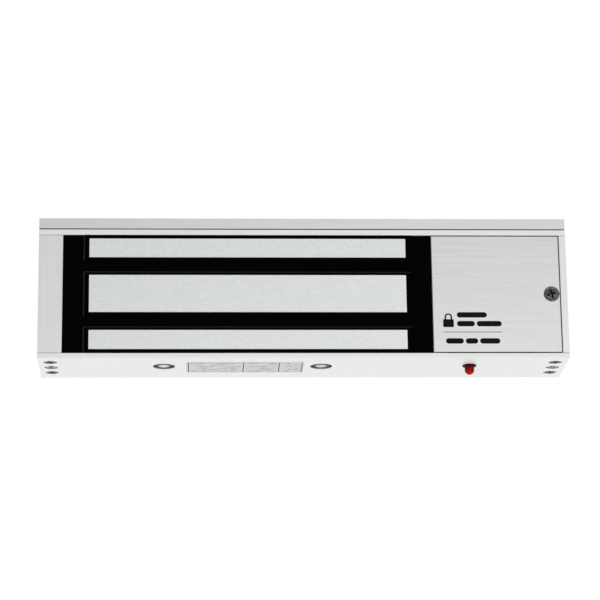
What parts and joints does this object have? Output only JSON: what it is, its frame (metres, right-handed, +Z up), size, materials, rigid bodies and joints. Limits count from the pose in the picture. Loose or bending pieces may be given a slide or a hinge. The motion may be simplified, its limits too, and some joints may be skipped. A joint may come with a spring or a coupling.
{
  "type": "magnetic door lock",
  "caption": "Long slim surface-mounted magnetic door lock: potted three-pole electromagnet in a brushed aluminium channel, with mounting plate, wiring compartment, cover and indicator lamp.",
  "frame": {"origin": "centre of the mounting plate's top face, which meets the door header", "axes": "+X along the lock towards the wiring compartment, pole faces towards -Y, +Z up to the header"},
  "size_m": [0.2666, 0.0401, 0.0778],
  "materials": {
    "brushed_aluminium": "brushed, clear anodised",
    "ground_steel": "ground and zinc plated",
    "plain_steel": "bright zinc",
    "bright_screw": "polished",
    "black_steel": "black oxide",
    "dark_screw": "dark zinc",
    "potting": "cast epoxy",
    "copper_wire": "enamelled copper",
    "coil_tape": "polyester tape",
    "natural_nylon": "moulded",
    "black_rubber": "moulded",
    "red_lens": "clear moulded",
    "black_plastic": "moulded",
    "board_green": "solder mask",
    "terminal_green": "moulded",
    "relay_blue": "moulded",
    "tinned_metal": "tin plated",
    "capacitor_sleeve": "shrink sleeve",
    "varistor_coat": "dipped",
    "diode_body": "moulded",
    "resistor_body": "painted",
    "sensor_glass": "clear",
    "red_insulation": "extruded",
    "black_insulation": "extruded",
    "yellow_insulation": "extruded",
    "label_film": "silver film"
  },
  "bodies": {
    "plate": {"mounting_plate": "brushed_aluminium", "plate_thread_inserts": "plain_steel"},
    "lock": {"housing_channel": "brushed_aluminium", "end_block_left": "brushed_aluminium", "end_block_right": "brushed_aluminium", "end_screws_left": "bright_screw", "end_screws_right": "bright_screw", "core_laminations": "ground_steel", "core_rivets": "plain_steel", "coil_bobbin": "natural_nylon", "coil_winding": "copper_wire", "coil_tape": "coil_tape", "potting_compound": "potting", "bond_sensor": "sensor_glass", "sensor_leads": "yellow_insulation", "coil_lead_red": "red_insulation", "coil_lead_black": "black_insulation", "compartment_divider": "brushed_aluminium", "divider_grommet": "black_rubber", "stud_sockets": "natural_nylon", "cable_grommet": "black_rubber", "circuit_board": "board_green", "board_standoffs": "plain_steel", "board_screws": "bright_screw", "terminal_block_housing": "terminal_green", "terminal_contacts": "tinned_metal", "relay_case": "relay_blue", "relay_pins": "tinned_metal", "capacitor": "capacitor_sleeve", "varistor": "varistor_coat", "diodes": "diode_body", "resistors": "resistor_body", "jumper_header": "black_plastic", "jumper_pins": "tinned_metal", "lamp_bezel": "black_plastic", "lamp_nut": "plain_steel", "lamp_lens": "red_lens", "lamp_leads": "red_insulation", "rating_label": "label_film"},
    "cover": {"cover_plate": "brushed_aluminium", "cover_studs": "plain_steel"},
    "screw_ring": {"cover_screw_retainer": "natural_nylon"},
    "turning_screw": {"cover_screw": "dark_screw"},
    "shunt": {"voltage_jumper": "black_plastic"},
    "clamp_screw_1": {"terminal_screw_1": "plain_steel"},
    "rising_clamp_1": {"terminal_clamp_1": "tinned_metal"},
    "clamp_screw_2": {"terminal_screw_2": "plain_steel"},
    "rising_clamp_2": {"terminal_clamp_2": "tinned_metal"},
    "clamp_screw_3": {"terminal_screw_3": "plain_steel"},
    "rising_clamp_3": {"terminal_clamp_3": "tinned_metal"},
    "clamp_screw_4": {"terminal_screw_4": "plain_steel"},
    "rising_clamp_4": {"terminal_clamp_4": "tinned_metal"},
    "clamp_screw_5": {"terminal_screw_5": "plain_steel"},
    "rising_clamp_5": {"terminal_clamp_5": "tinned_metal"},
    "left_washer": {"bolt_washer_left": "plain_steel"},
    "left_bolt": {"mounting_bolt_left": "black_steel"},
    "right_washer": {"bolt_washer_right": "plain_steel"},
    "right_bolt": {"mounting_bolt_right": "black_steel"}
  },
  "joints": [
    {"name": "lock_drop", "type": "slide", "parent": "plate", "child": "lock", "axis": [0, 0, -1], "range_m": [0, 0.09]},
    {"name": "cover_pull", "type": "slide", "parent": "lock", "child": "cover", "axis": [0, -1, 0], "range_m": [0, 0.06]},
    {"name": "cover_screw_rise", "type": "slide", "parent": "cover", "child": "screw_ring", "axis": [0, -1, 0], "range_m": [0, 0.004]},
    {"name": "cover_screw_turn", "type": "hinge", "parent": "screw_ring", "child": "turning_screw", "pos_m": [0.12535, -0.01985, -0.0397], "axis": [0, -1, 0], "range_deg": [0, 1816]},
    {"name": "left_bolt_drop", "type": "slide", "parent": "lock", "child": "left_washer", "axis": [0, 0, -1], "range_m": [0, 0.0062]},
    {"name": "left_bolt_turn", "type": "hinge", "parent": "left_washer", "child": "left_bolt", "pos_m": [-0.0704, -0.00225, -0.073], "axis": [0, 0, -1], "range_deg": [0, 1759]},
    {"name": "right_bolt_drop", "type": "slide", "parent": "lock", "child": "right_washer", "axis": [0, 0, -1], "range_m": [0, 0.0062]},
    {"name": "right_bolt_turn", "type": "hinge", "parent": "right_washer", "child": "right_bolt", "pos_m": [0.0091, -0.00225, -0.073], "axis": [0, 0, -1], "range_deg": [0, 1759]},
    {"name": "shunt_pull", "type": "slide", "parent": "lock", "child": "shunt", "axis": [0, -1, 0], "range_m": [0, 0.009]},
    {"name": "clamp_open_1", "type": "slide", "parent": "lock", "child": "rising_clamp_1", "axis": [0, 1, 0], "range_m": [0, 0.00155]},
    {"name": "clamp_screw_turn_1", "type": "hinge", "parent": "lock", "child": "clamp_screw_1", "pos_m": [0.09314, 0.002, -0.0524], "axis": [0, -1, 0], "range_deg": [0, 1241]},
    {"name": "clamp_open_2", "type": "slide", "parent": "lock", "child": "rising_clamp_2", "axis": [0, 1, 0], "range_m": [0, 0.00155]},
    {"name": "clamp_screw_turn_2", "type": "hinge", "parent": "lock", "child": "clamp_screw_2", "pos_m": [0.09822, 0.002, -0.0524], "axis": [0, -1, 0], "range_deg": [0, 1241]},
    {"name": "clamp_open_3", "type": "slide", "parent": "lock", "child": "rising_clamp_3", "axis": [0, 1, 0], "range_m": [0, 0.00155]},
    {"name": "clamp_screw_turn_3", "type": "hinge", "parent": "lock", "child": "clamp_screw_3", "pos_m": [0.1033, 0.002, -0.0524], "axis": [0, -1, 0], "range_deg": [0, 1241]},
    {"name": "clamp_open_4", "type": "slide", "parent": "lock", "child": "rising_clamp_4", "axis": [0, 1, 0], "range_m": [0, 0.00155]},
    {"name": "clamp_screw_turn_4", "type": "hinge", "parent": "lock", "child": "clamp_screw_4", "pos_m": [0.10838, 0.002, -0.0524], "axis": [0, -1, 0], "range_deg": [0, 1241]},
    {"name": "clamp_open_5", "type": "slide", "parent": "lock", "child": "rising_clamp_5", "axis": [0, 1, 0], "range_m": [0, 0.00155]},
    {"name": "clamp_screw_turn_5", "type": "hinge", "parent": "lock", "child": "clamp_screw_5", "pos_m": [0.11346, 0.002, -0.0524], "axis": [0, -1, 0], "range_deg": [0, 1241]}
  ],
  "couplings": [
    {"joint": "cover_screw_turn", "follows": "cover_screw_rise", "rad_per_m": 7915.8},
    {"joint": "left_bolt_turn", "follows": "left_bolt_drop", "rad_per_m": 4947.4},
    {"joint": "right_bolt_turn", "follows": "right_bolt_drop", "rad_per_m": 4947.4},
    {"joint": "clamp_screw_turn_1", "follows": "clamp_open_1", "rad_per_m": 13963},
    {"joint": "clamp_screw_turn_2", "follows": "clamp_open_2", "rad_per_m": 13963},
    {"joint": "clamp_screw_turn_3", "follows": "clamp_open_3", "rad_per_m": 13963},
    {"joint": "clamp_screw_turn_4", "follows": "clamp_open_4", "rad_per_m": 13963},
    {"joint": "clamp_screw_turn_5", "follows": "clamp_open_5", "rad_per_m": 13963}
  ]
}
